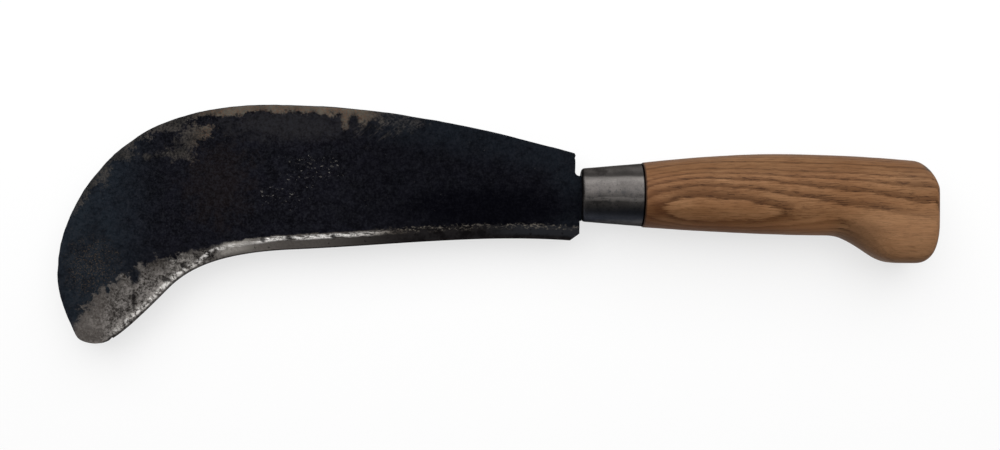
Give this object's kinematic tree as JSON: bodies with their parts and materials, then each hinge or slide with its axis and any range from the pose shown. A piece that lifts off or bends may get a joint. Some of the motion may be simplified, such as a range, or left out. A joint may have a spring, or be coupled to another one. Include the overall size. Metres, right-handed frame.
{
  "type": "billhook",
  "caption": "Hand billhook: forged hooked blade with a ground edge, through tang, tapered steel ferrule and caulked ash handle.",
  "frame": {"origin": "on the tang axis in the middle of the grip, between the ferrule and the caulk", "axes": "+X along the tang towards the butt, +Y towards the back of the blade, +Z through the thickness, up when the tool lies on its side"},
  "size_m": [0.425, 0.1156, 0.032],
  "materials": {
    "forged_steel": "blue-black forge scale with a grey ground edge",
    "ferrule_steel": "satin grey, finely pitted",
    "ash": "oiled ash, smooth",
    "washer_steel": "dull, lightly rusted"
  },
  "bodies": {
    "root": {"blade": "forged_steel", "ferrule": "ferrule_steel", "handle": "ash", "tang_washer": "washer_steel"}
  },
  "joints": []
}
